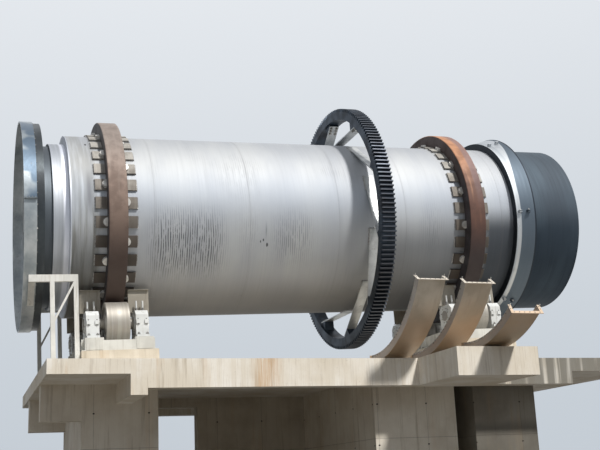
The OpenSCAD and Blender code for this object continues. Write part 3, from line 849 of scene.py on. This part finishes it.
def stop_welds():
    """Short welds at the foot of the half-round blocks beside the tyres."""
    piece = Piece("stop_welds", "kiln", "weld", "stop_steel", smooth=True)
    for x, i in product(TYRE_X, range(PAD_COUNT)):
        side = 1 if i % 2 == 0 else -1
        block = on_drum(x + side * TYRE_W / 2, -i * 360 / PAD_COUNT, SHELL_R + PAD_T)
        foot = [block @ move(side * STOP_R * math.sin(a), STOP_R * math.cos(a), 0.004)
                for a in [math.pi * n / 8 for n in range(9)]]
        piece.bead(foot, width=0.022, height=0.014)
    piece.make()


def spring_fastenings():
    """Bolts through the spring plates into the gear's lugs, and the welds of their feet."""
    bolts = Piece("spring_bolts", "kiln", "bolt", "gear_steel")
    welds = Piece("spring_welds", "kiln", "weld", "spring_steel", smooth=True)
    weld_l = SPRING_FOOT + 0.260
    for i in range(SPRING_COUNT):
        plate = on_drum(GEAR_X, i * 360 / SPRING_COUNT, SHELL_R)
        for along, back in product((-0.075, 0.075), (0.060, 0.150, 0.240)):
            bolts.bolt(plate @ move(along, back - SPRING_LEN, 0) @ spin(180, "X"), 0.046)
        for edge in BOTH:
            x = edge * (SPRING_W / 2 + 0.006)
            run = [plate @ move(x, SPRING_FOOT - weld_l * (1 - n / 16), 0) for n in range(17)]
            welds.bead(run, width=0.030, height=0.020)
        toe = [plate @ move((n / 8 - 0.5) * SPRING_W, SPRING_FOOT + 0.006, 0) for n in range(9)]
        welds.bead(toe, width=0.030, height=0.022)
    bolts.make()
    welds.make()


def sleeve_lugs():
    """Pairs of bolted lugs where the segments of the cooling sleeve meet."""
    lugs = Piece("sleeve_lugs", "kiln", "sleeve", "sleeve_steel")
    bolts = Piece("sleeve_bolts", "kiln", "stop", "sleeve_steel")
    for i, along in product(range(LUG_COUNT), (0.09, 0.30)):
        flare = max(0.0, along - 0.06) * 0.32
        r = SHELL_R + SLEEVE_GAP + 0.030 + flare
        joint = on_drum(SLEEVE_X[0] + along, 33 + i * 360 / LUG_COUNT, r)
        for side in BOTH:
            lugs.put(box_shape(LUG_SIZE, 0.003), joint @ move(0, side * 0.022, 0))
        bolts.bolt(joint @ move(0, 0.029, 0.012) @ spin(-90, "X"), 0.034)
    lugs.make()
    bolts.make()


# ---- Pieces on the bearings and frames ----

COLLAR_BOLTS = 8
COLLAR_BOLT_R = 0.182
FOOT_BOLT_Y = HOUSING_HALF + 0.052


def bearing_fastenings():
    """Nuts on the cap studs, bolts on feet, ears and collars, and the joint under each cap."""
    nuts = Piece("bearing_nuts", "foundation", "bolt", "bearing_paint")
    joints = Piece("bearing_joints", "foundation", "joint", "bearing_paint")
    for station, side, end in product((0, 1), BOTH, BOTH):
        shaft = at_shaft(station, side, end * BEARING_X)
        for s in (-0.5, 0.5):
            top = shaft @ move(s * STUD_PITCH, 0, HOUSING_TOP)
            nuts.bolt(top, 0.070, thread=0.0)
            nuts.bolt(top @ move(0, 0, 0.055), 0.066, thread=0.0, washer=False)
        for y, x in product(BOTH, (-EAR_X, EAR_X)):
            nuts.bolt(shaft @ move(x, y * FOOT_BOLT_Y, FOOT_T - SHAFT_H), 0.055)
            ear = shaft @ move(x, y * (HOUSING_HALF + EAR_REACH), EAR_HALF_H)
            nuts.bolt(ear, 0.030, washer=False)
            nuts.bolt(ear @ move(0, 0, -2 * EAR_HALF_H) @ spin(180, "X"), 0.030, washer=False)
            part = shaft @ move((x + math.copysign(BEARING_L / 2, x)) / 2, y * HOUSING_HALF, 0)
            joints.put(box_shape((BEARING_L / 2 - EAR_X, 0.003, 0.005), 0.001), part)
        for x in BOTH:
            collar = shaft @ move(x * (BEARING_L / 2 + COLLAR_T), 0, 0) @ spin(90 * x, "Y")
            for k in range(COLLAR_BOLTS):
                a = 2 * math.pi * (k + 0.5) / COLLAR_BOLTS
                place = collar @ move(COLLAR_BOLT_R * math.cos(a), COLLAR_BOLT_R * math.sin(a), 0)
                nuts.bolt(place, 0.022, washer=False)
    nuts.make()
    joints.make()


def base_frame_fittings():
    """Ribs, anchor bolts and end plates of the frame beams, and the grout under them."""
    steel = Piece("frame_stiffeners", "foundation", "frame", "frame_paint")
    bolts = Piece("anchor_bolts", "foundation", "bolt", "frame_paint")
    grout = Piece("frame_grout", "foundation", "deck", "concrete")
    half = abs(ROLLER.y) + FRAME_OVERHANG
    low = ROLLER.z - SHAFT_H - BASE_H
    rib_h = BASE_H - FLANGE_T - 0.008
    rib_w = 0.85 * FLANGE_W
    bays = 8
    bay = (2 * half - 0.40) / bays
    ties = [half - TIE_W / 2, 0, TIE_W / 2 - half]

    def free(y, inside):
        return not inside or all(abs(y - tie) > TIE_W / 2 + 0.04 for tie in ties)

    for station, end, out in product((0, 1), BOTH, BOTH):
        face = TYRE_X[station] + end * BEARING_X + out * BEAM_W / 2
        for n in range(bays + 1):
            y = -half + 0.20 + n * bay
            if free(y, out != end):
                rib = DRUM @ move(face + out * rib_w / 2, y, low + FLANGE_T + rib_h / 2)
                steel.put(box_shape((rib_w, 0.016, rib_h), 0.002), rib)
            y += bay / 2
            if n < bays and free(y, out != end):
                bolts.bolt(DRUM @ move(face + out * FLANGE_W / 2, y, low + FLANGE_T), 0.042)
    for tyre_x, end in product(TYRE_X, BOTH):
        x = tyre_x + end * BEARING_X
        for side in BOTH:
            plate = DRUM @ move(x, side * (half + 0.005), low + BASE_H / 2)
            steel.put(box_shape((BEAM_W - 0.05, 0.010, BASE_H - 0.05), 0.003), plate)
        bed = (BEAM_W + 2 * FLANGE_W + 0.03, 2 * half + 0.05, 0.016)
        grout.put(box_shape(bed, 0.005), DRUM @ move(x, 0, low))
    steel.make()
    bolts.make()
    grout.make()


# ---- Pieces on the seal housing ----

RING_BOLTS = 60


def seal_fastenings():
    """The bolted joint of the seal drum at half height, and bolts round its flange."""
    plates = Piece("seal_joint_plates", "foundation", "seal", "seal_paint")
    bolts = Piece("seal_bolts", "foundation", "bolt", "seal_paint")
    for turn in (90, 270):
        joint = on_drum((SEAL_X0 + SEAL_RING_X) / 2, turn, SEAL_R + 0.030)
        for gap in BOTH:
            flat = box_shape((SEAL_DRUM_L, 0.012, 0.070), 0.003)
            plates.put(flat, joint @ move(0, gap * 0.009, 0))
        for n in range(4):
            x = SEAL_X0 + 0.035 + n * (SEAL_DRUM_L - 0.07) / 3
            bolts.bolt(on_drum(x, turn, SEAL_R + 0.036) @ move(0, 0.015, 0) @ spin(-90, "X"), 0.024)
    for i in range(RING_BOLTS):
        place = on_drum(SEAL_RING_X - 0.001, 360 * (i + 0.5) / RING_BOLTS, SEAL_R - 0.020)
        bolts.bolt(place @ spin(90, "Y"), 0.022, washer=False)
    plates.make()
    bolts.make()


# ---- Pieces on the guard segments ----

GUARD_PITCH = 0.125


def guard_fastenings():
    """Bolts on the side plates and end flanges, pins at the upper corners, and corner welds."""
    bolts = Piece("guard_bolts", "foundation", "bolt", "guard_paint")
    pins = Piece("guard_pins", "foundation", "stop", "guard_paint")
    welds = Piece("guard_welds", "foundation", "guard", "guard_paint", smooth=True)
    for name, (foot_y, upper, length) in GUARD_PLACE.items():
        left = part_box(name)[0][0] + GUARD_FLANGE
        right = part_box(name)[1][0] - GUARD_FLANGE
        lower = upper - length
        # The flange of the lower end stands on the deck, so it lifts the curve
        past = math.radians(-lower)
        axis_h = (GUARD_OUTER + GUARD_FLANGE) * math.cos(past) + GUARD_T * math.sin(past)
        axis = move(0, foot_y, DECK_Z + axis_h)
        count = round(math.radians(length) * GUARD_R / GUARD_PITCH)
        for n in range(1, count):
            for x, out in ((left, -90), (right, 90)):
                place = on_guard(axis, x, lower + length * n / count, GUARD_INNER + 0.030)
                bolts.bolt(place @ spin(out, "Y"), 0.026, washer=False)
        for end, out in ((upper, -90), (lower, 90)):
            for n in range(6):
                x = left + 0.02 + n * (right - left - 0.04) / 5
                place = on_guard(axis, x, end, GUARD_OUTER + 0.020) @ spin(out, "X")
                bolts.bolt(place, 0.020, thread=0.0, washer=False)
        for x in (left - 0.027, right + 0.027):
            for above, thread in ((0.040, 5.0), (0.115, 0.6)):
                place = on_guard(axis, x, upper, GUARD_INNER + above) @ spin(-90, "X")
                pins.bolt(place, 0.022, thread=thread, washer=False)
        for x, side in ((left, -1), (right, 1)):
            angles = [lower + 0.4 + (length - 0.8) * n / 48 for n in range(49)]
            corner = [on_guard(axis, x, angle, GUARD_OUTER - 0.004) for angle in angles]
            turned = [place @ spin(90 * side, "Y") for place in corner]
            welds.bead(turned, width=0.012, height=0.005)
    bolts.make()
    pins.make()
    welds.make()


# ---- Light, floor and camera ----

PHOTO_EYE = Vector((-3.173, -24.474, 1.502))
PHOTO_RIGHT = Vector((0.94867, -0.31349, -0.04184))
PHOTO_UP = Vector((-0.04072, -0.25227, 0.96680))
PHOTO_AHEAD = Vector((0.31363, 0.91547, 0.25208))
PHOTO_LENS = 59.85
SUN_TURN = math.radians(25)
SUN_HEIGHT = math.radians(52)
FLOOR_REACH = 160.0
FLOOR_BOUNCE = (84, 80, 74)


def camera():
    data = bpy.data.cameras.new("camera")
    data.sensor_width = 36.0
    data.lens = PHOTO_LENS
    data.clip_end = 500.0
    view = bpy.data.objects.new("camera", data)
    bpy.context.scene.collection.objects.link(view)
    axes = Matrix((PHOTO_RIGHT, PHOTO_UP, -PHOTO_AHEAD)).transposed()
    view.matrix_world = Matrix.Translation(PHOTO_EYE) @ axes.to_4x4()
    bpy.context.scene.camera = view


def lights():
    level = math.cos(SUN_HEIGHT)
    sun_to = Vector((math.sin(SUN_TURN) * level, -math.cos(SUN_TURN) * level, math.sin(SUN_HEIGHT)))
    data = bpy.data.lights.new("key", "SUN")
    data.energy = 3.6
    data.angle = math.radians(5)
    data.color = (1.0, 0.97, 0.92)
    key = bpy.data.objects.new("key", data)
    key.rotation_euler = sun_to.to_track_quat("Z", "Y").to_euler()
    bpy.context.scene.collection.objects.link(key)


def world():
    """A pale background that brightens upwards. Diffuse light takes a weaker share of it."""
    sky = bpy.data.worlds.new("pale_studio")
    sky.use_nodes = True
    bpy.context.scene.world = sky
    sky.node_tree.nodes.clear()
    f = Nodes(sky.node_tree)
    height = f.parts(f.node("TexCoord").outputs["Generated"])[2]
    colour = f.mix(f.step(height, -0.05, 0.75), (196, 204, 212), (240, 243, 247))
    diffuse = f.ramp(height, -0.05, 0.50, 0.14, 0.50)
    light = f.node("Background", colour, f.ramp(f.seen(), 0.0, 1.0, diffuse, 1.0))
    f.put(f.node("OutputWorld").inputs["Surface"], light.outputs[0])


def floor():
    mesh = bpy.data.meshes.new("floor")
    r = FLOOR_REACH
    mesh.from_pydata([(-r, -r, 0), (r, -r, 0), (r, r, 0), (-r, r, 0)], [], [(0, 1, 2, 3)])
    ground = bpy.data.objects.new("floor", mesh)
    bpy.context.scene.collection.objects.link(ground)
    f = Finish("floor_pale")
    pale = f.mix(f.noise(f.place(), 0.4, 4.0), (196, 196, 194), (204, 204, 202))
    mesh.materials.append(f.done(f.mix(f.seen(), FLOOR_BOUNCE, pale), 0.9))


bpy.context.scene.view_settings.view_transform = "Standard"
camera()
world()
lights()
floor()
dress_nodes()
shell_seams()
pad_welds()
stop_welds()
spring_fastenings()
sleeve_lugs()
bearing_fastenings()
base_frame_fittings()
seal_fastenings()
guard_fastenings()
